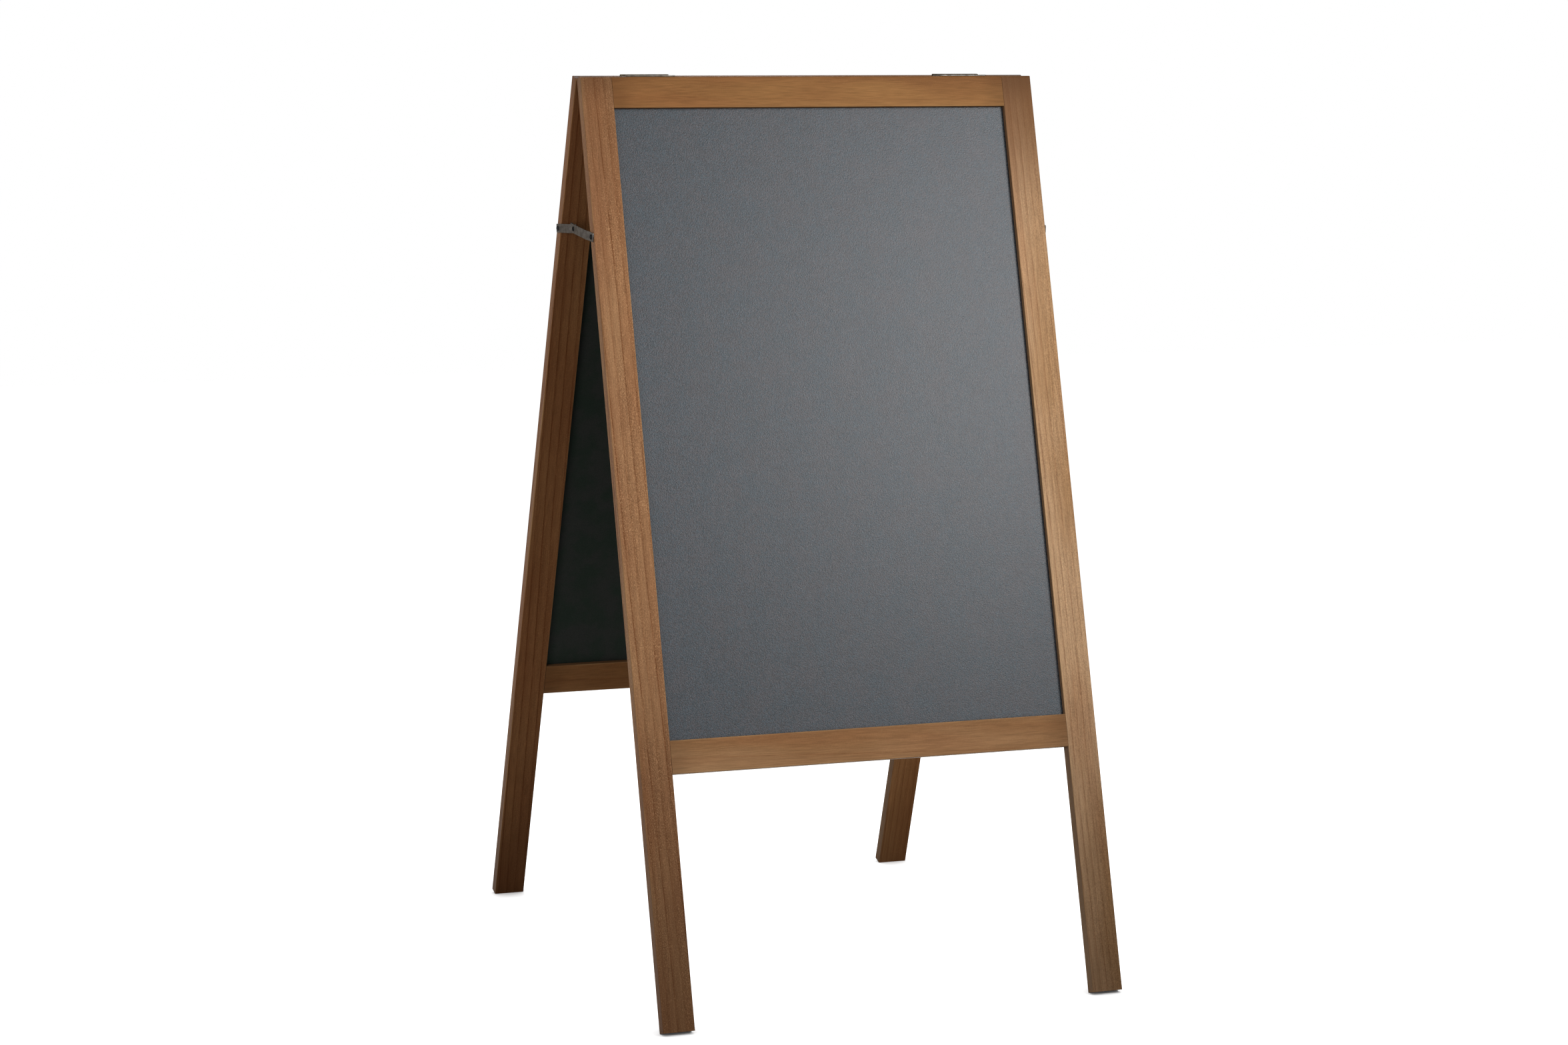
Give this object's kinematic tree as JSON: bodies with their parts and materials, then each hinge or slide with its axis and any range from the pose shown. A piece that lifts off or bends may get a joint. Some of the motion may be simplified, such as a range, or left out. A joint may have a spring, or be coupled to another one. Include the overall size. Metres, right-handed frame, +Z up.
{
  "type": "sidewalk chalkboard sign",
  "caption": "Folding two-sided A-frame sidewalk sign: chalkboards in wooden frames, hinged at the top, with folding strip-steel stays at the sides.",
  "frame": {"origin": "on the ground at the middle of the open sign, straight below the hinge pins", "axes": "+Z up; the front board faces -Y and the rear board +Y; X runs along the hinge pins, -X is the left side seen from the front"},
  "size_m": [0.6078, 0.7108, 1.1143],
  "materials": {
    "oiled_hardwood": "oiled, satin",
    "chalkboard": "matt chalkboard paint on hardboard",
    "beech_dowel": "turned, raw",
    "zinc_steel": "zinc plated, dull",
    "black_steel": "black oxide"
  },
  "bodies": {
    "front_board": {"front_left_leg": "oiled_hardwood", "front_right_leg": "oiled_hardwood", "front_top_rail": "oiled_hardwood", "front_bottom_rail": "oiled_hardwood", "front_chalkboard": "chalkboard", "front_dowels": "beech_dowel", "left_hinge_front_leaf": "zinc_steel", "left_hinge_pin": "zinc_steel", "right_hinge_front_leaf": "zinc_steel", "right_hinge_pin": "zinc_steel", "front_hinge_screws": "zinc_steel", "front_stay_screws": "black_steel"},
    "rear_board": {"rear_left_leg": "oiled_hardwood", "rear_right_leg": "oiled_hardwood", "rear_top_rail": "oiled_hardwood", "rear_bottom_rail": "oiled_hardwood", "rear_chalkboard": "chalkboard", "rear_dowels": "beech_dowel", "left_hinge_rear_leaf": "zinc_steel", "right_hinge_rear_leaf": "zinc_steel", "rear_hinge_screws": "zinc_steel", "rear_stay_screws": "black_steel"},
    "left_front_link": {"left_stay_front_link": "zinc_steel", "left_stay_rivet_head": "black_steel"},
    "left_rear_link": {"left_stay_rear_link": "zinc_steel", "left_stay_rivet_tail": "black_steel"},
    "right_front_link": {"right_stay_front_link": "zinc_steel", "right_stay_rivet_head": "black_steel"},
    "right_rear_link": {"right_stay_rear_link": "zinc_steel", "right_stay_rivet_tail": "black_steel"}
  },
  "joints": [
    {"name": "main_fold", "type": "hinge", "parent": "front_board", "child": "rear_board", "pos_m": [0, 0, 1.11031], "axis": [-1, 0, 0], "range_deg": [0, 34]},
    {"name": "left_front_link_pivot", "type": "hinge", "parent": "front_board", "child": "left_front_link", "pos_m": [-0.30085, -0.06708, 0.92168], "axis": [1, 0, 0], "range_deg": [0, 61.39]},
    {"name": "left_rear_link_pivot", "type": "hinge", "parent": "rear_board", "child": "left_rear_link", "pos_m": [-0.30085, 0.06708, 0.92168], "axis": [-1, 0, 0], "range_deg": [0, 61.39]},
    {"name": "right_front_link_pivot", "type": "hinge", "parent": "front_board", "child": "right_front_link", "pos_m": [0.30085, -0.06708, 0.92168], "axis": [1, 0, 0], "range_deg": [0, 61.39]},
    {"name": "right_rear_link_pivot", "type": "hinge", "parent": "rear_board", "child": "right_rear_link", "pos_m": [0.30085, 0.06708, 0.92168], "axis": [-1, 0, 0], "range_deg": [0, 61.39]}
  ],
  "couplings": [
    {"joint": "left_front_link_pivot", "follows": "main_fold", "ratio": 1.8054},
    {"joint": "left_rear_link_pivot", "follows": "main_fold", "ratio": 1.8054},
    {"joint": "right_front_link_pivot", "follows": "main_fold", "ratio": 1.8054},
    {"joint": "right_rear_link_pivot", "follows": "main_fold", "ratio": 1.8054}
  ]
}
